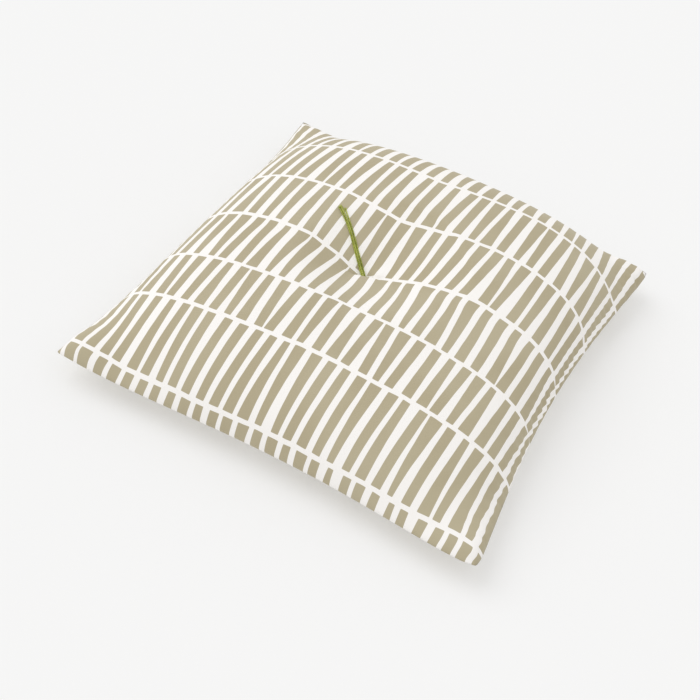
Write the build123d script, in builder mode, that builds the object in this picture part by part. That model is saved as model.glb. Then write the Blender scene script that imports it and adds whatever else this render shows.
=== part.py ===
from build123d import *
import os
from math import pi, tan

os.makedirs("parts", exist_ok=True)

# Floor cushion. Front edge along X, depth along Y, origin under the middle of the
# cushion on the resting surface. Millimetres.

# Whole cushion, corner to corner
FRONT = 550.0
DEPTH = 590.0
SEAM_Z = 32.0
RISE = 85.5
SINK = 44.0

# Cover cloth and filling layers
CLOTH = 0.6
HEM_ROOM = 6.0
TOP_ROOM = 1.5
WRAP = 9.0
CORNER_WAD_R = 62.0
CORE_SPLIT_LOW = 40.0
CORE_SPLIT_HIGH = 72.0

# Tuft through the whole thickness: the pits in the two faces and the thread
TUFT_X = -20.0
TUFT_Y = -9.0
PIT_TOP_Z = 80.0
PIT_TOP_RISE = 37.0
PIT_TOP_R = 124.0
PIT_UNDER_Z = 12.0
PIT_UNDER_RISE = 12.0
PIT_UNDER_R = 60.0
PIT_FOOT_R = 5.0
TIE_D = 2.4
TIE_SPAN = 5.0
TIE_TOP_Z = 82.5
KNOT_D = 8.6
KNOT_Z = 84.5

# Free thread ends at the tuft: three side by side on the cover, one lying on them
STRAND_D = 2.0
STRAND_1 = [
    (-23.2, -8.8, 84.2),
    (-34.1, 2.3, 88.5),
    (-50.3, 17.3, 98.1),
    (-65.6, 33.0, 105.8),
    (-81.8, 48.0, 111.7),
    (-98.6, 60.8, 115.3),
]
STRAND_2 = [
    (-21.8, -7.2, 84.2),
    (-32.7, 4.0, 88.6),
    (-48.7, 18.8, 98.1),
    (-64.1, 34.6, 105.8),
    (-80.1, 49.6, 111.7),
    (-95.3, 62.1, 115.6),
]
STRAND_3 = [
    (-20.4, -5.7, 84.2),
    (-31.2, 5.6, 88.7),
    (-47.2, 20.4, 98.1),
    (-62.5, 36.2, 105.8),
    (-78.6, 51.2, 111.7),
    (-90.9, 62.9, 115.3),
]
STRAND_4 = [
    (-22.0, -8.4, 86.1),
    (-33.1, 2.8, 90.3),
    (-49.2, 17.8, 100.0),
    (-64.7, 33.7, 107.7),
    (-81.0, 48.8, 113.8),
    (-97.1, 61.6, 117.5),
]

# Sewing threads, set in from the seam and ending short of the corners
SEAM_THREAD_D = 0.8
THREAD_INSET = 3.7
THREAD_END = 46.0
LEFT_MIDDLE = 10.9
LEFT_END = 3.0
RIGHT_MIDDLE = 22.9
RIGHT_END = 4.7

# Seven control columns each way, from left to right and from front to back.
# EVEN spaces them along a seam, STEEP stands the faces up beside it.
EVEN = [-1.0, -0.67, -0.33, 0.0, 0.33, 0.67, 1.0]
STEEP = [-1.0, -0.96, -0.62, 0.0, 0.62, 0.96, 1.0]
FULL_ACROSS = [0.0, 0.83, 1.04, 1.07, 1.04, 1.08, 0.0]
FULL_ALONG = [0.0, 0.78, 1.04, 1.07, 1.04, 1.2, 0.0]
LAST = 6

# How far each side is drawn in at the columns along it, and how far it is lifted
FRONT_DRAW = [0.0, 0.0, 9.0, 22.0, 18.0, 0.0, 0.0]
BACK_DRAW = [0.0, 0.0, 0.0, 0.0, 0.0, 0.0, 0.0]
LEFT_DRAW = [0.0, 7.0, 12.0, 13.0, 12.0, 7.0, 0.0]
RIGHT_DRAW = [0.0, 9.0, 26.0, 31.0, 24.0, 11.0, 0.0]
FRONT_LIFT = [0.0, -3.5, -6.0, 4.0, 3.0, -4.5, 0.0]


def draw_in(at, low_side, high_side):
    """Draw at one column: whole on its own side, none on the middle line."""
    if at < LAST / 2:
        return low_side
    if at > LAST / 2:
        return high_side
    return 0.0


def sheet_face(swell, half_x, half_y):
    """One sculpted face: the square plan drawn in at its sides, swelling by swell."""
    net = []
    for i in range(LAST + 1):
        row = []
        for j in range(LAST + 1):
            across = EVEN[i] if j in (0, LAST) else STEEP[i]
            along = EVEN[j] if i in (0, LAST) else STEEP[j]
            x = across * (half_x - draw_in(i, LEFT_DRAW[j], RIGHT_DRAW[j]))
            y = along * (half_y - draw_in(j, FRONT_DRAW[i], BACK_DRAW[i]))
            lift = FRONT_LIFT[i] if j == 0 else 0.0
            z = SEAM_Z + lift + swell * FULL_ACROSS[i] * FULL_ALONG[j]
            row.append(Vector(x, y, z))
        net.append(row)
    return Face.make_bezier_surface(net)


def pit_cut(level, up, rise, rim, inset):
    """Funnel around the tuft, opening upward (up = 1) or downward (up = -1)."""
    foot_z = level - up * inset
    lip_z = foot_z + up * rise
    clear_z = lip_z + up * 30.0
    with BuildPart() as pit:
        with BuildSketch(Plane.XZ.offset(-TUFT_Y)):
            with BuildLine():
                Line((TUFT_X, clear_z), (TUFT_X, foot_z))
                Line((TUFT_X, foot_z), (TUFT_X + PIT_FOOT_R + inset, foot_z))
                Spline(
                    (TUFT_X + PIT_FOOT_R + inset, foot_z),
                    (TUFT_X + rim, lip_z),
                    tangents=[(1, up * 0.55), (1, up * 0.12)],
                )
                Line((TUFT_X + rim, lip_z), (TUFT_X + rim, clear_z))
                Line((TUFT_X + rim, clear_z), (TUFT_X, clear_z))
            make_face()
        revolve(axis=Axis((TUFT_X, TUFT_Y, 0), (0, 0, 1)))
    return pit.part


def cushion_form(inset, room=0.0, slack=0.0):
    """Closed cushion shape set in from the outside, flat below, with both pits.

    room keeps its edge further in, clear of the turned-in seams; slack lowers its top."""
    half_x = FRONT / 2 - inset - room
    half_y = DEPTH / 2 - inset - room
    upper = sheet_face(RISE - inset - slack, half_x, half_y)
    lower = sheet_face(inset - SINK, half_x, half_y)
    with BuildPart() as form:
        add(Solid(Shell([upper, lower])))
        with Locations((0, 0, inset)):
            Box(700, 700, 100, align=(Align.CENTER, Align.CENTER, Align.MAX), mode=Mode.SUBTRACT)
        add(pit_cut(PIT_TOP_Z, 1, PIT_TOP_RISE, PIT_TOP_R, inset + slack), mode=Mode.SUBTRACT)
        add(pit_cut(PIT_UNDER_Z, -1, PIT_UNDER_RISE, PIT_UNDER_R, inset), mode=Mode.SUBTRACT)
    return form.part


def corner_posts():
    """Upright columns marking off the four corners."""
    with BuildPart() as posts:
        with GridLocations(FRONT, DEPTH, 2, 2):
            Cylinder(CORNER_WAD_R, 200.0)
    return posts.part


def turn_radii(points):
    """Bend radius at every inner point of a thread, printed as it is made."""
    radii = []
    for a, b, c in zip(points, points[1:], points[2:]):
        before = Vector(b) - Vector(a)
        after = Vector(c) - Vector(b)
        half_turn = before.get_angle(after) * pi / 360
        radii.append(0.45 * min(before.length, after.length) / tan(half_turn))
    print("bend radii", [round(radius) for radius in radii])
    return radii


outside = cushion_form(0.0)
pocket = cushion_form(CLOTH)
filling = cushion_form(CLOTH, HEM_ROOM, TOP_ROOM)
core = cushion_form(CLOTH + WRAP, HEM_ROOM, TOP_ROOM)
posts = corner_posts()

# Tuft thread: two legs up through the cushion into the knot, joined by a stitch
# across the lower face.
with BuildPart() as tuft_tie:
    with BuildSketch(Plane.XY.offset(PIT_UNDER_Z)):
        with Locations((TUFT_X - TIE_SPAN / 2, TUFT_Y), (TUFT_X + TIE_SPAN / 2, TUFT_Y)):
            Circle(TIE_D / 2)
    extrude(amount=TIE_TOP_Z - PIT_UNDER_Z)
    with BuildSketch(Plane.XY.offset(PIT_UNDER_Z)):
        with Locations((TUFT_X + TIE_SPAN / 2, TUFT_Y)):
            Circle(TIE_D / 2)
    revolve(axis=Axis((TUFT_X, TUFT_Y, PIT_UNDER_Z), (0, 1, 0)), revolution_arc=180)
tuft_tie.part.label = "tuft_tie"
export_step(tuft_tie.part, "parts/tuft_tie.step")

# Knot on the legs
with BuildPart() as tuft_knot:
    with Locations((TUFT_X, TUFT_Y, KNOT_Z)):
        Sphere(KNOT_D / 2)
    add(tuft_tie.part, mode=Mode.SUBTRACT)
tuft_knot.part.label = "tuft_knot"
export_step(tuft_knot.part, "parts/tuft_knot.step")

# Printed cover: one cloth skin all round, pierced by the tuft thread
with BuildPart() as cover:
    add(outside)
    add(pocket, mode=Mode.SUBTRACT)
    add(tuft_tie.part, mode=Mode.SUBTRACT)
cover.part.label = "cover"
export_step(cover.part, "parts/cover.step")

# Sewing threads just inside the cover: the two sewn sides
SIDE_X = FRONT / 2 - CLOTH - THREAD_INSET
BACK_Y = DEPTH / 2 - CLOTH - THREAD_INSET
SIDE_END_Y = DEPTH / 2 - THREAD_END
BACK_END_X = FRONT / 2 - THREAD_END

with BuildPart() as seam_thread_left:
    with BuildLine():
        run = ThreePointArc(
            (-SIDE_X + LEFT_END, -SIDE_END_Y, SEAM_Z),
            (-SIDE_X + LEFT_MIDDLE, 0, SEAM_Z),
            (-SIDE_X + LEFT_END, SIDE_END_Y, SEAM_Z),
        )
    with BuildSketch(Plane(origin=run @ 0, z_dir=run % 0)):
        Circle(SEAM_THREAD_D / 2)
    sweep()
seam_thread_left.part.label = "seam_thread_left"
export_step(seam_thread_left.part, "parts/seam_thread_left.step")

with BuildPart() as seam_thread_back:
    with BuildSketch(Plane.YZ.offset(-BACK_END_X)):
        with Locations((BACK_Y, SEAM_Z)):
            Circle(SEAM_THREAD_D / 2)
    extrude(amount=2 * BACK_END_X)
seam_thread_back.part.label = "seam_thread_back"
export_step(seam_thread_back.part, "parts/seam_thread_back.step")

# The hand-closed side
with BuildPart() as closing_thread_right:
    with BuildLine():
        run = ThreePointArc(
            (SIDE_X - RIGHT_END, -SIDE_END_Y, SEAM_Z),
            (SIDE_X - RIGHT_MIDDLE, 0, SEAM_Z),
            (SIDE_X - RIGHT_END, SIDE_END_Y, SEAM_Z),
        )
    with BuildSketch(Plane(origin=run @ 0, z_dir=run % 0)):
        Circle(SEAM_THREAD_D / 2)
    sweep()
closing_thread_right.part.label = "closing_thread_right"
export_step(closing_thread_right.part, "parts/closing_thread_right.step")

# Cotton sheet folded round the filling
with BuildPart() as batting_wrap:
    add(filling)
    add(core, mode=Mode.SUBTRACT)
    add(posts, mode=Mode.SUBTRACT)
    add(tuft_tie.part, mode=Mode.SUBTRACT)
batting_wrap.part.label = "batting_wrap"
export_step(batting_wrap.part, "parts/batting_wrap.step")

# Stacked cotton sheets inside the wrap
with BuildPart() as batting_core_lower:
    add(core)
    add(posts, mode=Mode.SUBTRACT)
    add(tuft_tie.part, mode=Mode.SUBTRACT)
    split(bisect_by=Plane.XY.offset(CORE_SPLIT_LOW), keep=Keep.BOTTOM)
batting_core_lower.part.label = "batting_core_lower"
export_step(batting_core_lower.part, "parts/batting_core_lower.step")

with BuildPart() as batting_core_middle:
    add(core)
    add(posts, mode=Mode.SUBTRACT)
    add(tuft_tie.part, mode=Mode.SUBTRACT)
    split(bisect_by=Plane.XY.offset(CORE_SPLIT_LOW), keep=Keep.TOP)
    split(bisect_by=Plane.XY.offset(CORE_SPLIT_HIGH), keep=Keep.BOTTOM)
batting_core_middle.part.label = "batting_core_middle"
export_step(batting_core_middle.part, "parts/batting_core_middle.step")

with BuildPart() as batting_core_upper:
    add(core)
    add(posts, mode=Mode.SUBTRACT)
    add(tuft_tie.part, mode=Mode.SUBTRACT)
    split(bisect_by=Plane.XY.offset(CORE_SPLIT_HIGH), keep=Keep.TOP)
batting_core_upper.part.label = "batting_core_upper"
export_step(batting_core_upper.part, "parts/batting_core_upper.step")

# Cotton pushed into the front left corner
with BuildPart() as batting_corner_front_left:
    add(filling)
    with Locations((-FRONT / 2, -DEPTH / 2, 0)):
        Cylinder(CORNER_WAD_R, 200.0, mode=Mode.INTERSECT)
batting_corner_front_left.part.label = "batting_corner_front_left"
export_step(batting_corner_front_left.part, "parts/batting_corner_front_left.step")

# Cotton pushed into the front right corner
with BuildPart() as batting_corner_front_right:
    add(filling)
    with Locations((FRONT / 2, -DEPTH / 2, 0)):
        Cylinder(CORNER_WAD_R, 200.0, mode=Mode.INTERSECT)
batting_corner_front_right.part.label = "batting_corner_front_right"
export_step(batting_corner_front_right.part, "parts/batting_corner_front_right.step")

# Cotton pushed into the back right corner
with BuildPart() as batting_corner_back_right:
    add(filling)
    with Locations((FRONT / 2, DEPTH / 2, 0)):
        Cylinder(CORNER_WAD_R, 200.0, mode=Mode.INTERSECT)
batting_corner_back_right.part.label = "batting_corner_back_right"
export_step(batting_corner_back_right.part, "parts/batting_corner_back_right.step")

# Cotton pushed into the back left corner
with BuildPart() as batting_corner_back_left:
    add(filling)
    with Locations((-FRONT / 2, DEPTH / 2, 0)):
        Cylinder(CORNER_WAD_R, 200.0, mode=Mode.INTERSECT)
batting_corner_back_left.part.label = "batting_corner_back_left"
export_step(batting_corner_back_left.part, "parts/batting_corner_back_left.step")

# Free thread ends leaving the knot
section = pi * STRAND_D**2 / 4

with BuildPart() as tuft_strand_1:
    with BuildLine() as route:
        FilletPolyline(*STRAND_1, radius=turn_radii(STRAND_1))
    run = route.wire()
    with BuildSketch(Plane(origin=run @ 0, z_dir=run % 0)):
        Circle(STRAND_D / 2)
    sweep(path=run)
    print("tuft_strand_1", run.length, tuft_strand_1.part.volume, section * run.length)
    add(tuft_knot.part, mode=Mode.SUBTRACT)
tuft_strand_1.part.label = "tuft_strand_1"
export_step(tuft_strand_1.part, "parts/tuft_strand_1.step")

with BuildPart() as tuft_strand_2:
    with BuildLine() as route:
        FilletPolyline(*STRAND_2, radius=turn_radii(STRAND_2))
    run = route.wire()
    with BuildSketch(Plane(origin=run @ 0, z_dir=run % 0)):
        Circle(STRAND_D / 2)
    sweep(path=run)
    print("tuft_strand_2", run.length, tuft_strand_2.part.volume, section * run.length)
    add(tuft_knot.part, mode=Mode.SUBTRACT)
tuft_strand_2.part.label = "tuft_strand_2"
export_step(tuft_strand_2.part, "parts/tuft_strand_2.step")

with BuildPart() as tuft_strand_3:
    with BuildLine() as route:
        FilletPolyline(*STRAND_3, radius=turn_radii(STRAND_3))
    run = route.wire()
    with BuildSketch(Plane(origin=run @ 0, z_dir=run % 0)):
        Circle(STRAND_D / 2)
    sweep(path=run)
    print("tuft_strand_3", run.length, tuft_strand_3.part.volume, section * run.length)
    add(tuft_knot.part, mode=Mode.SUBTRACT)
tuft_strand_3.part.label = "tuft_strand_3"
export_step(tuft_strand_3.part, "parts/tuft_strand_3.step")

with BuildPart() as tuft_strand_4:
    with BuildLine() as route:
        FilletPolyline(*STRAND_4, radius=turn_radii(STRAND_4))
    run = route.wire()
    with BuildSketch(Plane(origin=run @ 0, z_dir=run % 0)):
        Circle(STRAND_D / 2)
    sweep(path=run)
    print("tuft_strand_4", run.length, tuft_strand_4.part.volume, section * run.length)
    add(tuft_knot.part, mode=Mode.SUBTRACT)
tuft_strand_4.part.label = "tuft_strand_4"
export_step(tuft_strand_4.part, "parts/tuft_strand_4.step")
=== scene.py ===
from math import comb, cos, pi, radians, sin

import bpy
import numpy as np
from mathutils import Matrix, Vector


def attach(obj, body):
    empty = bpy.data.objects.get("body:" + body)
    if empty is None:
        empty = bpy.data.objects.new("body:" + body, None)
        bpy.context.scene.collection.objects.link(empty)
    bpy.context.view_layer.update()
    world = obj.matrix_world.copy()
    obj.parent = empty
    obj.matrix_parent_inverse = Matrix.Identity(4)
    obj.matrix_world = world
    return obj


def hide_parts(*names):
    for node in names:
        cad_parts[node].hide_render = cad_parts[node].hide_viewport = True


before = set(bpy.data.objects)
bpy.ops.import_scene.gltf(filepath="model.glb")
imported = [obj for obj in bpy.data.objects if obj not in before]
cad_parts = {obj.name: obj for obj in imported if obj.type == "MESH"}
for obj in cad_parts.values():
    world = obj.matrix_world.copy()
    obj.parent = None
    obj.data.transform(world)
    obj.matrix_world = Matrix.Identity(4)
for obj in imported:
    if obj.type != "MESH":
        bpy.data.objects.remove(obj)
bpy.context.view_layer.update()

# ---------------------------------------------------------------- sizes, metres
WIDTH, DEPTH = 0.55, 0.59      # corner to corner
SEAM_Z = 0.032                 # height of the corners
RISE, SINK = 0.0865, 0.0440    # swell of the upper and the lower face from the seams
BLEND = 0.004                  # softness where a face meets its pit or the floor
TUFT = (-0.020, -0.009)

# The pits at the tuft: height of the foot, height from foot to rim, radius of the rim
PIT_TOP_Z, PIT_TOP_RISE, PIT_TOP_R = 0.0805, 0.037, 0.124
PIT_UNDER_Z, PIT_UNDER_RISE, PIT_UNDER_R = 0.0120, 0.012, 0.060
PIT_FOOT_R = 0.005
FOOT_SLOPE, RIM_SLOPE, BEYOND_SLOPE = 0.55, 0.12, 2

CUT_W, CUT_L = 0.580, 0.622    # the cover's cloth, side to side and fold to back seam
CELL = 0.0050
FRAMES = 16

# Cloth simulation: how firmly the form holds the cloth, air pressure, shrinking at seams
HOLD, PUFF, GATHER = 0.3, 0.2, 0.05
SEWN, HAND_CLOSED = 0.6, 1.0   # shares of that shrinking
HELD_R = 0.008                 # cloth this near the tuft is held still
OUT_MOST, IN_MOST, ASIDE_MOST = 0.004, 0.0004, 0.003
# Nearer its outline or a corner than this the cloth may move less, and at the outline
# only this share; at a corner it stays where it is
EDGE_EASE, CORNER_EASE, EDGE_SHARE = 0.03, 0.12, 0.15

# Seven control columns each way, left to right and front to back, as in the CAD
MIDDLE, LAST = 3, 6
EVEN = np.array([-1, -0.67, -0.33, 0, 0.33, 0.67, 1])
STEEP = np.array([-1, -0.96, -0.62, 0, 0.62, 0.96, 1])
FULL_ACROSS = np.array([0, 0.83, 1.04, 1.07, 1.04, 1.08, 0])
FULL_ALONG = np.array([0, 0.78, 1.04, 1.07, 1.04, 1.2, 0])
FRONT_DRAW = 0.001 * np.array([0, 0, 9, 22, 18, 0, 0])
LEFT_DRAW = 0.001 * np.array([0, 7, 12, 13, 12, 7, 0])
RIGHT_DRAW = 0.001 * np.array([0, 9, 26, 31, 24, 11, 0])
FRONT_LIFT = 0.001 * np.array([0, -3.5, -6, 4, 3, -4.5, 0])

# ---------------------------------------------------------------- camera
AZ, EL, ROLL = radians(20.44), radians(44.13), radians(11.02)
CAMERA_AT = Vector((0.4000, -1.1376, 1.1264))
SENSOR, LENS = 36, 65.69897    # mm
back = Vector((sin(AZ) * cos(EL), -cos(AZ) * cos(EL), sin(EL)))
right = (-back).cross(Vector((0, 0, 1))).normalized()
up = right.cross(-back)
cam_right = cos(ROLL) * right + sin(ROLL) * up
cam_up = -sin(ROLL) * right + cos(ROLL) * up
camera = bpy.data.objects.new("camera", bpy.data.cameras.new("camera"))
camera.data.sensor_width = SENSOR
camera.data.lens = LENS
turned = Matrix((cam_right, cam_up, back)).transposed().to_4x4()
camera.matrix_world = Matrix.Translation(CAMERA_AT) @ turned
bpy.context.scene.collection.objects.link(camera)
bpy.context.scene.camera = camera

# ---------------------------------------------------------------- materials
class Nodes:
    """Short calls for building a shader."""

    def __init__(self, name, roughness=0.9):
        self.material = bpy.data.materials.new(name)
        self.material.use_nodes = True
        self.tree = self.material.node_tree
        self.shader = self.tree.nodes["Principled BSDF"]
        self.shader.inputs["Roughness"].default_value = roughness

    def put(self, socket, value):
        if hasattr(value, "is_output"):
            self.tree.links.new(value, socket)
        else:
            socket.default_value = value

    def new(self, kind, settings=(), **inputs):
        node = self.tree.nodes.new(kind)
        for key, value in dict(settings).items():
            setattr(node, key, value)
        for key, value in inputs.items():
            self.put(node.inputs[key.replace("_", " ")], value)
        return node

    def math(self, op, *values):
        node = self.tree.nodes.new("ShaderNodeMath")
        node.operation = op
        for socket, value in zip(node.inputs, values):
            self.put(socket, value)
        return node.outputs[0]

    def ramp(self, value, low, high):
        """0 at low, 1 at high, smooth between."""
        node = self.new("ShaderNodeMapRange", {"interpolation_type": "SMOOTHSTEP"})
        for key, given in (("Value", value), ("From Min", low), ("From Max", high)):
            self.put(node.inputs[key], given)
        return node.outputs[0]

    def mix(self, factor, a, b):
        """Colour a at factor 0, b at 1; sockets 6 and 7 are the node's two colours."""
        node = self.new("ShaderNodeMix", {"data_type": "RGBA"})
        self.put(node.inputs[0], factor)
        self.put(node.inputs[6], a)
        self.put(node.inputs[7], b)
        return node.outputs[2]


def linear(r, g, b):
    """Scene colour of an sRGB colour whose channels are all above 10 of 255."""
    return tuple(((c / 255 + 0.055) / 1.055) ** 2.4 for c in (r, g, b)) + (1,)


# The print, in metres on the flat cloth; its rows run across and its bars front to back
ROW, ROW_GAP = 0.1000, 0.0054       # row to row, and the bare line between two rows
BAR, BAR_WIDE = 0.0200, 0.0119      # bar to bar, and the width of a bar
BAR_ROUND, EDGE_SOFT = 0.0018, 0.00025
WOBBLE_X, WOBBLE_Y = 0.0010, 0.0034
WEAVE = 0.0011
# In bars: how far a side leans, how far a bar strays, and how far a row may be shifted
LEAN, STRAY, ROW_SHIFT = 0.60, 0.15, 7.0
BARE_CLOTH = linear(252, 249, 246)
INK_DARK, INK_LIGHT = linear(180, 169, 140), linear(186, 176, 148)


def printed_cotton():
    """Rows of uneven slanted bars on a plain weave, from the flat cloth coordinates."""
    n = Nodes("printed_cotton", roughness=0.92)
    flat = n.new("ShaderNodeUVMap", {"uv_map": "cloth"}).outputs[0]
    xyz = n.new("ShaderNodeSeparateXYZ", Vector=flat).outputs
    wobble = n.new("ShaderNodeTexNoise", Vector=flat, Scale=34.0, Detail=1.0).outputs["Color"]
    wob = n.new("ShaderNodeSeparateXYZ", Vector=wobble).outputs
    x = n.math("MULTIPLY_ADD", n.math("SUBTRACT", wob[0], 0.5), WOBBLE_X, xyz[0])
    y = n.math("MULTIPLY_ADD", n.math("SUBTRACT", wob[1], 0.5), WOBBLE_Y, xyz[1])
    rows = n.math("DIVIDE", y, ROW)
    row = n.math("FLOOR", rows)
    t = n.math("SUBTRACT", n.math("FRACT", rows), 0.5)
    row_seed = n.new("ShaderNodeTexWhiteNoise", {"noise_dimensions": "1D"})
    n.put(row_seed.inputs["W"], row)
    row_shift = n.math("MULTIPLY", row_seed.outputs["Value"], ROW_SHIFT)
    cells = n.math("ADD", n.math("DIVIDE", x, BAR), row_shift)
    cell = n.math("FLOOR", cells)
    f = n.math("SUBTRACT", n.math("FRACT", cells), 0.5)
    place = n.new("ShaderNodeCombineXYZ", X=cell, Y=row).outputs[0]
    seeds = n.new("ShaderNodeTexWhiteNoise", {"noise_dimensions": "3D"}, Vector=place).outputs
    draw = n.new("ShaderNodeSeparateXYZ", Vector=seeds["Color"]).outputs
    # distances inside the bar from its two sides and its nearer end, with rounded corners
    edges = []
    for side, pick in ((-1, draw[0]), (1, draw[1])):
        lean = n.math("MULTIPLY", n.math("SUBTRACT", pick, 0.5), t)
        at = n.math("MULTIPLY_ADD", lean, LEAN, side * BAR_WIDE / BAR / 2)
        shift = n.math("MULTIPLY_ADD", n.math("SUBTRACT", draw[2], 0.5), STRAY, at)
        edges.append(n.math("MULTIPLY", n.math("SUBTRACT", f, shift), -side * BAR))
    bar_end = 0.5 - ROW_GAP / ROW / 2
    end = n.math("MULTIPLY", n.math("SUBTRACT", bar_end, n.math("ABSOLUTE", t)), ROW)
    inside = n.math("SMOOTH_MIN", n.math("MINIMUM", *edges), end, BAR_ROUND)
    ink = n.ramp(inside, -EDGE_SOFT, EDGE_SOFT)
    cloud = n.new("ShaderNodeTexNoise", Vector=flat, Scale=9.0, Detail=3.0).outputs[0]
    bar_colour = n.mix(n.ramp(cloud, 0.35, 0.65), INK_DARK, INK_LIGHT)
    base = n.mix(ink, BARE_CLOTH, bar_colour)
    n.put(n.shader.inputs["Base Color"], base)
    n.shader.inputs["Sheen Weight"].default_value = 0.12
    n.shader.inputs["Sheen Roughness"].default_value = 0.5
    # plain weave, a little uneven
    warp = n.math("SINE", n.math("MULTIPLY", xyz[0], 2 * pi / WEAVE))
    weft = n.math("SINE", n.math("MULTIPLY", xyz[1], 2 * pi / WEAVE))
    weave = n.math("MULTIPLY", warp, weft)
    slub = n.new("ShaderNodeTexNoise", Vector=flat, Scale=700.0, Detail=2.0).outputs[0]
    height = n.math("MULTIPLY_ADD", slub, 0.8, n.math("MULTIPLY", weave, 0.5))
    bump = n.new("ShaderNodeBump", Height=height, Strength=0.25, Distance=0.0002)
    n.put(n.shader.inputs["Normal"], bump.outputs[0])
    return n.material


def cotton_batting():
    n = Nodes("cotton_batting", roughness=1.0)
    spot = n.new("ShaderNodeTexCoord").outputs["Object"]
    fluff = n.new("ShaderNodeTexNoise", Vector=spot, Scale=160.0, Detail=6.0).outputs[0]
    n.put(n.shader.inputs["Base Color"], n.mix(fluff, linear(232, 226, 214), linear(247, 244, 238)))
    bump = n.new("ShaderNodeBump", Height=fluff, Strength=0.8, Distance=0.002)
    n.put(n.shader.inputs["Normal"], bump.outputs[0])
    return n.material


def cotton_thread(name, dark, light):
    n = Nodes(name, roughness=0.75)
    spot = n.new("ShaderNodeTexCoord").outputs["Object"]
    fibre = n.new("ShaderNodeTexNoise", Vector=spot, Scale=900.0, Detail=3.0).outputs[0]
    tone = n.new("ShaderNodeTexNoise", Vector=spot, Scale=60.0, Detail=1.0).outputs[0]
    shade = n.math("MULTIPLY_ADD", fibre, 0.6, n.math("MULTIPLY", tone, 0.4))
    n.put(n.shader.inputs["Base Color"], n.mix(n.ramp(shade, 0.3, 0.7), dark, light))
    bump = n.new("ShaderNodeBump", Height=fibre, Strength=0.5, Distance=0.0002)
    n.put(n.shader.inputs["Normal"], bump.outputs[0])
    return n.material


PRINT = printed_cotton()
BATTING = cotton_batting()
GREEN = cotton_thread("green_thread", linear(126, 134, 40), linear(204, 211, 104))
SEWING = cotton_thread("sewing_thread", linear(214, 208, 192), linear(240, 236, 224))

# ---------------------------------------------------------------- free thread ends
STRAND_D = 0.0020
FINE_STEP, PATH_STEP = 0.0006, 0.002
# The points that pull each strand's smooth line, as in the CAD
STRAND_ROUTES = {
    "tuft_strand_1": [
        (-0.0232, -0.0088, 0.0842),
        (-0.0341, 0.0023, 0.0885),
        (-0.0503, 0.0173, 0.0981),
        (-0.0656, 0.0330, 0.1058),
        (-0.0818, 0.0480, 0.1117),
        (-0.0986, 0.0608, 0.1153),
    ],
    "tuft_strand_2": [
        (-0.0218, -0.0072, 0.0842),
        (-0.0327, 0.0040, 0.0886),
        (-0.0487, 0.0188, 0.0981),
        (-0.0641, 0.0346, 0.1058),
        (-0.0801, 0.0496, 0.1117),
        (-0.0953, 0.0621, 0.1156),
    ],
    "tuft_strand_3": [
        (-0.0204, -0.0057, 0.0842),
        (-0.0312, 0.0056, 0.0887),
        (-0.0472, 0.0204, 0.0981),
        (-0.0625, 0.0362, 0.1058),
        (-0.0786, 0.0512, 0.1117),
        (-0.0909, 0.0629, 0.1153),
    ],
    "tuft_strand_4": [
        (-0.0220, -0.0084, 0.0861),
        (-0.0331, 0.0028, 0.0903),
        (-0.0492, 0.0178, 0.1000),
        (-0.0647, 0.0337, 0.1077),
        (-0.0810, 0.0488, 0.1138),
        (-0.0971, 0.0616, 0.1175),
    ],
}


def smooth_line(points):
    """Points along the smooth line that has these as its control points."""
    curve = bpy.data.curves.new("route", "CURVE")
    curve.dimensions = "3D"
    curve.resolution_u = 24
    spline = curve.splines.new("NURBS")
    spline.points.add(len(points) - 1)
    for at, point in zip(spline.points, points):
        at.co = (*point, 1)
    spline.order_u = 3
    spline.use_endpoint_u = True
    holder = bpy.data.objects.new("route", curve)
    bpy.context.scene.collection.objects.link(holder)
    mesh = bpy.data.meshes.new_from_object(holder)
    line = np.array([v.co for v in mesh.vertices])
    bpy.data.objects.remove(holder, do_unlink=True)
    return line


def evenly(line, step):
    """The same line with points a step apart, and how far along each one is."""
    run = np.concatenate([[0], np.cumsum(np.linalg.norm(np.diff(line, axis=0), axis=1))])
    at = np.linspace(0, run[-1], max(3, round(run[-1] / step) + 1))
    return np.stack([np.interp(at, run, line[:, k]) for k in range(3)], -1), at


ASKEW = (0.3, 0.2, 1.0)        # no thread starts in this direction


def side_vectors(line):
    """Two directions across the line at every point, turning no more than they must."""
    ahead = np.gradient(line, axis=0)
    ahead /= np.linalg.norm(ahead, axis=1, keepdims=True)
    first = np.cross(ahead[0], ASKEW)
    sides = [first / np.linalg.norm(first)]
    for direction in ahead[1:]:
        side = sides[-1] - direction * (sides[-1] @ direction)
        sides.append(side / np.linalg.norm(side))
    sides = np.array(sides)
    return sides, np.cross(ahead, sides)


def tube(line, radius, corners=8):
    """Mesh of a round thread along a line, closed at both ends."""
    a, b = side_vectors(line)
    turn = np.linspace(0, 2 * pi, corners, endpoint=False)
    wide = np.broadcast_to(radius, len(line))[:, None, None]
    ring = a[:, None] * np.cos(turn)[:, None] + b[:, None] * np.sin(turn)[:, None]
    verts = (line[:, None] + wide * ring).reshape(-1, 3)
    k = np.arange(len(line) - 1)[:, None] * corners
    j, after = np.arange(corners), (np.arange(corners) + 1) % corners
    sides = np.stack([k + j, k + after, k + corners + after, k + corners + j], -1)
    last = (len(line) - 1) * corners
    faces = sides.reshape(-1, 4).tolist()
    faces += [list(range(corners))[::-1], list(range(last, last + corners))]
    return verts, faces


def joined(name, meshes, material):
    """One object from several meshes, smooth shaded."""
    verts, faces = [], []
    for part_verts, part_faces in meshes:
        faces += [[len(verts) + k for k in face] for face in part_faces]
        verts += np.asarray(part_verts).tolist()
    mesh = bpy.data.meshes.new(name)
    mesh.from_pydata(verts, [], faces)
    mesh.update()
    for poly in mesh.polygons:
        poly.use_smooth = True
    mesh.materials.append(material)
    made = bpy.data.objects.new(name, mesh)
    bpy.context.scene.collection.objects.link(made)
    return made


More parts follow.
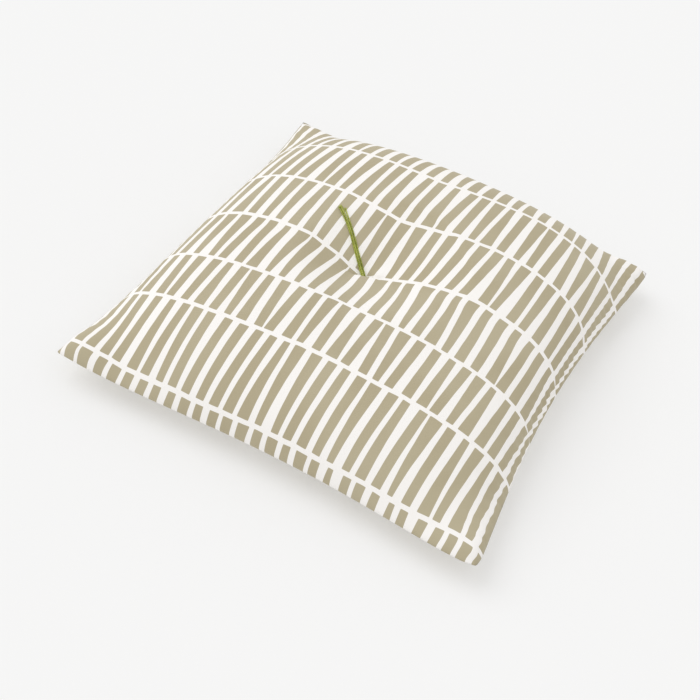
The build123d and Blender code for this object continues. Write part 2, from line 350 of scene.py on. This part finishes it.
PLIES, LAY_LENGTH, PLY_SHARE = 3, 0.0052, 0.52


def twisted(line, diameter, start=0.0):
    """Meshes of the plies of a twisted thread."""
    line, run = evenly(line, FINE_STEP)
    a, b = side_vectors(line)
    ply_r = diameter / 2 * PLY_SHARE
    out = diameter / 2 - ply_r
    for ply in range(PLIES):
        turn = (2 * pi * (run / LAY_LENGTH + ply / PLIES) + start)[:, None]
        yield tube(line + out * (a * np.cos(turn) + b * np.sin(turn)), ply_r)


HAIRS, HAIR_LONG, HAIR_R = 34, 0.0075, 0.00011
HAIR_SHORTEST, HAIR_LEAST_SPREAD = 0.55, 0.2    # shares of the longest and the widest
HAIR_START, HAIR_OPENS = 0.3, 1.6               # share of the thread, power of the spread
HAIR_DOWN = 0.35                                # share left of any spread downward
HAIR_BACK, HAIR_ON = -1, 1.6                    # the tip is pulled back or on
HAIR_THICK, HAIR_TAPER = 1.15, 0.7              # at the root, and lost by the tip


def frayed(line, diameter, seed):
    """Loose fibres at the cut end of a thread, with little room to spread downward."""
    rng = np.random.default_rng(seed)
    line, run = evenly(line, FINE_STEP)
    a, b = side_vectors(line)
    for _ in range(HAIRS):
        length = rng.uniform(HAIR_SHORTEST, 1.0) * HAIR_LONG
        cut = run > run[-1] - length
        t = ((run[cut] - run[-1] + length) / length)[:, None]
        angle = rng.uniform(0, 2 * pi)
        spread = rng.uniform(HAIR_LEAST_SPREAD, 1.0) * diameter
        bend = angle + rng.uniform(-1, 1) * t
        away = HAIR_START * diameter + spread * t**HAIR_OPENS
        off = away * (a[cut] * np.cos(bend) + b[cut] * np.sin(bend))
        off[:, 2] *= np.where(off[:, 2] < 0, HAIR_DOWN, 1)
        pull = (line[-1] - line[-3]) * t**2 * rng.uniform(HAIR_BACK, HAIR_ON)
        radius = HAIR_R * (HAIR_THICK - HAIR_TAPER * t[:, 0])
        yield tube(line[cut] + off + pull, radius, corners=5)


for order, (name, route) in enumerate(STRAND_ROUTES.items()):
    line = smooth_line(route)
    plies = list(twisted(line, STRAND_D, start=order))
    strand = joined(name + "_thread", plies + list(frayed(line, STRAND_D, order)), GREEN)
    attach(strand, "root")
    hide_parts(name)
    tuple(route[0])
    float(evenly(line, FINE_STEP)[1][-1])
    evenly(line, PATH_STEP)[0].tolist()

# The knot over the hole: a trefoil of thread
KNOT_AT, KNOT_R, KNOT_THREAD = np.array((*TUFT, 0.0845)), 0.0032, 0.0024
KNOT_HIGH = 1.3
t = np.linspace(0, 2 * pi, 121)
knot_x = np.sin(t) + 2 * np.sin(2 * t)
knot_y = np.cos(t) - 2 * np.cos(2 * t)
knot_z = -KNOT_HIGH * np.sin(3 * t)
knot_line = KNOT_AT + KNOT_R / 3 * np.stack([knot_x, knot_y, knot_z], -1)
knot = joined("tuft_knot_thread", list(twisted(knot_line, KNOT_THREAD)), GREEN)
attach(knot, "root")
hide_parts("tuft_knot")

# The thread's two legs through the cushion and its stitch across the underside
TIE_HALF, TIE_D, TIE_TOP = 0.0025, 0.0024, 0.0825
t = np.linspace(0, pi, 25)
legs = np.linspace(0, 1, 40)[:, None]
stitch = np.stack([-TIE_HALF * np.cos(t), 0 * t, -TIE_HALF * np.sin(t)], -1)
rise = np.array((0, 0, TIE_TOP - PIT_UNDER_Z))
leg_down, leg_up = stitch[:1] + (1 - legs) * rise, stitch[-1:] + legs * rise
tie_line = np.concatenate([leg_down, stitch[1:-1], leg_up])
tie_line += np.array((*TUFT, PIT_UNDER_Z))
tie = joined("tuft_tie_thread", list(twisted(tie_line, TIE_D)), GREEN)
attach(tie, "root")
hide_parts("tuft_tie")

# ---------------------------------------------------------------- shapes
def bernstein(t):
    """How much each control column counts at t."""
    shares = [comb(LAST, i) * t**i * (1 - t) ** (LAST - i) for i in range(LAST + 1)]
    return np.stack(shares, -1)


def blend_net(a, net, b):
    """Values on a Bezier surface, from its net and the shares each way."""
    return np.einsum("...i,ij,...j->...", a, net, b)


def pit(x, y, foot_z, rise, rim):
    """Height of the pit's wall around the tuft; rise is negative on the underside."""
    r = np.hypot(x - TUFT[0], y - TUFT[1])
    span = rim - PIT_FOOT_R
    t = np.clip((r - PIT_FOOT_R) / span, 0, 1)
    sign = np.sign(rise)
    z = (t**3 - 2 * t**2 + t) * FOOT_SLOPE * span * sign
    z += (3 * t**2 - 2 * t**3) * rise
    z += (t**3 - t**2) * RIM_SLOPE * span * sign
    return foot_z + z + sign * BEYOND_SLOPE * np.clip(r - rim, 0, None)


def soft_min(a, b):
    """The smaller of two values, with a rounded change between them."""
    return 0.5 * (a + b - np.sqrt((a - b) ** 2 + BLEND**2))


def cover_face(u, v, swell):
    """A point of the stuffed cover's upper (swell > 0) or lower face; u, v run 0 to 1."""
    i, j = np.meshgrid(range(LAST + 1), range(LAST + 1), indexing="ij")
    across = np.where((j == 0) | (j == LAST), EVEN[i], STEEP[i])
    along = np.where((i == 0) | (i == LAST), EVEN[j], STEEP[j])
    side_draw = np.select([i < MIDDLE, i > MIDDLE], [LEFT_DRAW[j], RIGHT_DRAW[j]], 0)
    net_x = across * (WIDTH / 2 - side_draw)
    net_y = along * (DEPTH / 2 - np.where(j < MIDDLE, FRONT_DRAW[i], 0))
    net_z = SEAM_Z + np.where(j == 0, FRONT_LIFT[i], 0)
    net_z = net_z + swell * FULL_ACROSS[i] * FULL_ALONG[j]
    a, b = bernstein(u), bernstein(v)
    x, y, z = (blend_net(a, net, b) for net in (net_x, net_y, net_z))
    if swell > 0:
        z = soft_min(z, pit(x, y, PIT_TOP_Z, PIT_TOP_RISE, PIT_TOP_R))
    else:
        z = -soft_min(-z, 0.0)      # flat where it rests on the floor
        z = np.maximum(z, pit(x, y, PIT_UNDER_Z, -PIT_UNDER_RISE, PIT_UNDER_R))
    return np.stack([x, y, z], -1)


CLOSER = 0.3


def closer_inside(count):
    """Grid lines from -1 to 1 that stand closer together in the middle."""
    t = np.linspace(-1, 1, count)
    return t - CLOSER * np.sin(pi * t) / pi


def spread_evenly(shape, swell, rounds=8):
    """Slides the cloth's grid over the face until it is spaced as on the flat cloth."""
    u, v = np.meshgrid(*(np.linspace(0, 1, n) for n in shape), indexing="ij")
    for _ in range(rounds):
        for axis in (0, 1):
            point = np.moveaxis(cover_face(u, v, swell), axis, 0)
            u, v = np.moveaxis(u, axis, 0).copy(), np.moveaxis(v, axis, 0).copy()
            step = np.linalg.norm(np.diff(point, axis=0), axis=-1)
            run = np.concatenate([0 * step[:1], np.cumsum(step, 0)])
            even = 0.5 + 0.5 * closer_inside(len(run))
            for k in range(run.shape[1]):
                u[:, k] = np.interp(even, run[:, k] / run[-1, k], u[:, k])
                v[:, k] = np.interp(even, run[:, k] / run[-1, k], v[:, k])
            u, v = np.moveaxis(u, 0, axis), np.moveaxis(v, 0, axis)
    return cover_face(u, v, swell)


def quads(index):
    """The four corners of every cell of an index grid."""
    corners = [index[:-1, :-1], index[1:, :-1], index[1:, 1:], index[:-1, 1:]]
    return np.stack(corners, -1).reshape(-1, 4)


def two_sided(shape):
    """Index grids of an upper and a lower sheet that share their outline."""
    top = np.arange(shape[0] * shape[1]).reshape(shape)
    inner = np.zeros(shape, bool)
    inner[1:-1, 1:-1] = True
    bottom = top.copy()
    bottom[inner] = np.arange(inner.sum()) + top.size
    return top, bottom, inner


def add_object(name, verts, faces):
    """A new object in the scene from points and faces."""
    mesh = bpy.data.meshes.new(name)
    mesh.from_pydata(np.asarray(verts).tolist(), [], np.asarray(faces).tolist())
    mesh.update()
    made = bpy.data.objects.new(name, mesh)
    bpy.context.scene.collection.objects.link(made)
    return made


# ---------------------------------------------------------------- the cover's cloth
nx, ny = (2 * round(size / CELL / 2) + 1 for size in (CUT_W, CUT_L))
cut_x, cut_y = np.meshgrid(
    closer_inside(nx) * CUT_W / 2, closer_inside(ny) * CUT_L / 2, indexing="ij"
)
top_i, under_i, inner = two_sided(cut_x.shape)
cloth_x = np.concatenate([cut_x.ravel(), cut_x[inner]])
cloth_y = np.concatenate([cut_y.ravel(), cut_y[inner]])
cloth_faces = np.concatenate([quads(top_i), quads(under_i)[:, ::-1]])


def stuffed_shape():
    """Points of the cloth laid over the CAD's stuffed form."""
    upper = spread_evenly(cut_x.shape, RISE)
    lower = spread_evenly(cut_x.shape, -SINK)
    return np.concatenate([upper.reshape(-1, 3), lower[inner]])


def relaxed(points):
    """Short cloth simulation: seams gather, the faces swell a little between them.

    The movement is kept small, above all inward and near the seams and corners.
    """
    cloth = add_object("cloth", points, cloth_faces)
    hold = cloth.vertex_groups.new(name="hold")
    gather = cloth.vertex_groups.new(name="gather")
    hold.add(range(len(points)), HOLD, "REPLACE")
    near = np.hypot(points[:, 0] - TUFT[0], points[:, 1] - TUFT[1]) < HELD_R
    hold.add(np.flatnonzero(near).tolist(), 1.0, "REPLACE")
    gather.add(range(len(points)), 0.0, "REPLACE")
    left, back_side, right_side = top_i[0], top_i[:, -1], top_i[-1]
    for edge, pull in ((left, SEWN), (back_side, SEWN), (right_side, HAND_CLOSED)):
        gather.add(edge.tolist(), pull, "REPLACE")
    sim = cloth.modifiers.new("sim", "CLOTH")
    s = sim.settings
    s.quality = 6
    s.mass = 0.0003
    s.vertex_group_mass = "hold"
    s.pin_stiffness = 1.0
    s.vertex_group_shrink = "gather"
    s.shrink_min, s.shrink_max = 0, GATHER
    s.bending_model = "ANGULAR"
    s.tension_stiffness, s.compression_stiffness = 40, 20
    s.shear_stiffness, s.bending_stiffness = 10, 0.5
    s.tension_damping = s.compression_damping = s.shear_damping = 5
    s.air_damping = 2
    s.effector_weights.gravity = 0
    s.use_pressure = True
    s.uniform_pressure_force = PUFF
    sim.collision_settings.use_collision = False
    sim.point_cache.frame_end = FRAMES
    for step in range(1, FRAMES + 1):
        bpy.context.scene.frame_set(step)
    settled = cloth.evaluated_get(bpy.context.evaluated_depsgraph_get())
    moved = np.empty(len(points) * 3)
    settled.data.vertices.foreach_get("co", moved)
    bpy.data.objects.remove(cloth, do_unlink=True)
    bpy.context.scene.frame_set(1)
    shift = moved.reshape(-1, 3) - points
    out = np.sign(points[:, 2] - SEAM_Z)
    shift[:, 2] = out * np.clip(out * shift[:, 2], -IN_MOST, OUT_MOST)
    shift[:, :2] = np.clip(shift[:, :2], -ASIDE_MOST, ASIDE_MOST)
    in_x, in_y = CUT_W / 2 - abs(cloth_x), CUT_L / 2 - abs(cloth_y)
    free = np.clip(np.minimum(in_x, in_y) / EDGE_EASE, EDGE_SHARE, 1)
    free *= np.clip(np.hypot(in_x, in_y) / CORNER_EASE, 0, 1)
    return points + shift * free[:, None]


def smooth(t):
    """0 up to t = 0, 1 from t = 1, smooth between."""
    t = np.clip(t, 0, 1)
    return t * t * (3 - 2 * t)


WAVE_FROM, WAVE_TO = -0.4, 0.41     # further than any seam reaches
SMALLEST_WAVE = 0.25


def wavy(s, step, seed):
    """Uneven wave along a seam, from -1 to 1."""
    rng = np.random.default_rng(seed)
    knots = np.arange(WAVE_FROM, WAVE_TO, step)
    sign = np.where(np.arange(len(knots)) % 2, 1, -1)
    return np.interp(s, knots, sign * rng.uniform(SMALLEST_WAVE, 1, len(knots)))


# Gathers: how far from the seam they are highest, and the seam's own slower wave
GATHER_REACH, SEAM_WAVE_REACH, SEAM_WAVE_HIGH = 0.009, 0.006, 0.6


def with_puckers(points):
    """Draws the cloth into small gathers beside the sewn sides."""
    face = np.where(np.arange(len(points)) < top_i.size, 1.0, -1.0)
    # right, left and back: distance in, place along, seed, height, step, way out
    for far, along, seed, high, step, outwards in (
        (CUT_W / 2 - cloth_x, cloth_y, 3, 0.0034, 0.0080, (1, 0)),
        (CUT_W / 2 + cloth_x, cloth_y, 4, 0.0008, 0.0110, (-1, 0)),
        (CUT_L / 2 - cloth_y, cloth_x, 5, 0.0009, 0.0110, (0, 1)),
    ):
        size = high * (far / GATHER_REACH) * np.exp(1 - far / GATHER_REACH)
        wave = wavy(along, step, seed)
        seam_wave = high * SEAM_WAVE_HIGH * wavy(along, 2 * step, seed + 10)
        points[:, 2] += face * size * wave
        points[:, 2] += np.exp(-far / SEAM_WAVE_REACH) * seam_wave
        points[:, :2] += (size * wave)[:, None] * outwards
    return points


# For each corner, by its side (right is 1) and end (back is 1): how far its tip is
# turned in, how full it is just inside, how lifted
CORNERS = {
    (1, -1): (0.0040, 0.0080, 0.000),
    (1, 1): (0.0030, 0.0100, 0.003),
    (-1, -1): (0.0, 0.0110, 0.003),
    (-1, 1): (0.0, 0.0060, 0.006),
}
TIP_REACH, TIP_POINTED, LIFT_REACH = 0.022, 1.5, 0.045
FULL_FROM, FULL_AT, FULL_OVER = 0.010, 0.030, 0.038
FULL_BELOW, FULL_OUTWARDS = 0.4, 0.4    # shares of the fullness on top


def with_stuffed_corners(points):
    """Turns the right side's corner tips in, and fills and lifts the corners."""
    face = np.where(np.arange(len(points)) < top_i.size, 1.0, -FULL_BELOW)
    for (side, end), (tuck, full, lift) in CORNERS.items():
        in_x, in_y = CUT_W / 2 - side * cloth_x, CUT_L / 2 - end * cloth_y
        far = np.hypot(in_x, in_y)
        near = np.clip(1 - far / TIP_REACH, 0, 1) ** TIP_POINTED
        points[:, 0] -= side * tuck * near
        points[:, 1] -= end * tuck * near
        inside = np.clip(np.minimum(in_x, in_y) / FULL_FROM, 0, 1)
        swell = full * inside * np.exp(-(((far - FULL_AT) / FULL_OVER) ** 2))
        points[:, 2] += face * swell + lift * np.exp(-((far / LIFT_REACH) ** 2))
        points[:, 0] += side * FULL_OUTWARDS * swell
    return points


# The two folds at the tuft, metres: height; distance from the tuft where it starts, over
# which it rises, where it starts to fall, over which it falls; distance aside; width
LIP = (0.0100, 0.0003, 0.0034, 0.0035, 0.022, 0.002, 0.018)
RIDGE = (0.0060, 0.0008, 0.0030, 0.004, 0.014, 0.014, 0.010)
LIP_LEAN = 0.42
TOWARDS_LIP = (0.25, -0.97)


def fold(ahead, aside, high, start, climb, top, fall, beside, wide):
    """Height of a fold at the tuft, for distances ahead of the tuft and aside."""
    height = high * smooth((ahead - start) / climb)
    height *= np.exp(-((np.clip(ahead - top, 0, None) / fall) ** 2))
    return height * np.exp(-(((aside + beside) / wide) ** 2))


def with_lip(points):
    """Bunches the cloth up around the tuft.

    The lip in front leans over the hole; the ridge is behind and to one side.
    """
    upper = points[: top_i.size]
    dx, dy = upper[:, 0] - TUFT[0], upper[:, 1] - TUFT[1]
    ahead = dx * TOWARDS_LIP[0] + dy * TOWARDS_LIP[1]
    aside = dx * TOWARDS_LIP[1] - dy * TOWARDS_LIP[0]
    front = fold(ahead, aside, *LIP)
    upper[:, 2] += front + fold(-ahead, aside, *RIDGE)
    upper[:, 0] -= LIP_LEAN * front * TOWARDS_LIP[0]
    upper[:, 1] -= LIP_LEAN * front * TOWARDS_LIP[1]
    return points


cloth_points = with_lip(with_stuffed_corners(with_puckers(relaxed(stuffed_shape()))))
cloth_points[:, 2] = np.maximum(cloth_points[:, 2], 0.0)
cover = add_object("cover_cloth", cloth_points, cloth_faces)
for poly in cover.data.polygons:
    poly.use_smooth = True

# The print's place on the cloth, in metres and on round the front fold. Its rows lie a
# little unevenly, and behind the tuft they bow towards it.
ROWS_ON_CLOTH = (-1.089, -0.289, -0.181, -0.101, -0.015, 0.078, 0.183, 0.285, 0.385)
ROWS_IN_PRINT = np.array([-11, -3, -2, -1, 0, 1, 2, 3, 4])
BOW, BOW_WIDE = 0.019, 0.11
BOW_FROM, BOW_OVER = -0.05, 0.08    # it starts here on the cloth, and grows over this
bow = BOW * (1 - np.exp(-(((cut_x - TUFT[0]) / BOW_WIDE) ** 2)))
bow = bow * np.clip((cut_y - BOW_FROM) / BOW_OVER, 0, 1)


def in_print(cloth):
    """Where a place along the cloth falls in the print."""
    return np.interp(cloth, ROWS_ON_CLOTH, ROW * ROWS_IN_PRINT)


upper_uv = np.stack([cut_x, in_print(cut_y - bow)], -1).reshape(-1, 2)
lower_uv = np.stack([cut_x, in_print(-CUT_L - cut_y)], -1).reshape(-1, 2)
uv = cover.data.uv_layers.new(name="cloth")
loop_uv = np.concatenate([upper_uv[quads(top_i)], lower_uv[quads(top_i)[:, ::-1]]])
uv.data.foreach_set("uv", loop_uv.ravel())

# Creased along the sewn sides, smooth everywhere else
sewn = np.zeros(len(cloth_points), bool)
sewn[np.concatenate([top_i[0], top_i[-1], top_i[:, -1]])] = True
ends = np.empty(2 * len(cover.data.edges), int)
cover.data.edges.foreach_get("vertices", ends)
crease = cover.data.attributes.new("crease_edge", "FLOAT", "EDGE")
crease.data.foreach_set("value", sewn[ends.reshape(-1, 2)].all(1).astype(float))
sub = cover.modifiers.new("smooth", "SUBSURF")
sub.levels = sub.render_levels = 1
cover.data.materials.append(PRINT)
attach(cover, "root")
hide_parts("cover")

# Materials of the CAD's own pieces, by the first word of their names
FINISHES = {"batting": BATTING, "tuft": GREEN, "seam": SEWING, "closing": SEWING}
for name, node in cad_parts.items():
    if name != "cover":
        node.data.materials.clear()
        node.data.materials.append(FINISHES[name.split("_")[0]])

# ---------------------------------------------------------------- floor and light
# Painted light: the floor glows this much to lighten the shadows on it, and its colour is darker by
# as much
PAINTED_GLOW = 0.30
PAPER = linear(246, 246, 246)
GRAIN = 1.01


def floor_paper():
    """Pale paper with a painted glow: painted light that makes the shadows on it lighter."""
    n = Nodes("floor_paper", roughness=1.0)
    spot = n.new("ShaderNodeTexCoord").outputs["Object"]
    grain = n.new("ShaderNodeTexNoise", Vector=spot, Scale=300.0, Detail=2.0).outputs[0]
    colour = tuple(c - PAINTED_GLOW for c in PAPER[:3]) + (1,)
    lighter = tuple(c * GRAIN for c in colour[:3]) + (1,)
    n.put(n.shader.inputs["Base Color"], n.mix(grain, colour, lighter))
    n.shader.inputs["Specular IOR Level"].default_value = 0.0
    # painted light: the paper's glow, which lifts its shadows
    n.shader.inputs["Emission Color"].default_value = (1, 1, 1, 1)
    n.shader.inputs["Emission Strength"].default_value = PAINTED_GLOW
    return n.material


FAR = 9
floor_corners = [(-FAR, -FAR, 0), (FAR, -FAR, 0), (FAR, FAR, 0), (-FAR, FAR, 0)]
floor = add_object("floor", floor_corners, [(0, 1, 2, 3)])
floor.data.materials.append(floor_paper())

SKY, SUN = 0.80, 0.82           # together they keep the floor as pale as its paper
bpy.context.scene.view_settings.view_transform = "Standard"
world = bpy.data.worlds.new("studio")
bpy.context.scene.world = world
world.use_nodes = True
sky = world.node_tree.nodes["Background"].inputs
sky["Color"].default_value = (1.0, 0.995, 0.98, 1)
sky["Strength"].default_value = SKY


def soft_sun(name, come_from, spread, power):
    """A sun as wide as this many degrees, so that its shadows have soft edges."""
    lamp = bpy.data.lights.new(name, "SUN")
    lamp.energy, lamp.angle, lamp.color = power, radians(spread), (1.0, 1.01, 1.04)
    holder = bpy.data.objects.new(name, lamp)
    holder.rotation_euler = (-Vector(come_from)).to_track_quat("-Z", "Y").to_euler()
    bpy.context.scene.collection.objects.link(holder)


soft_sun("key", come_from=(-1.5, 0.15, 1.8), spread=50, power=SUN)
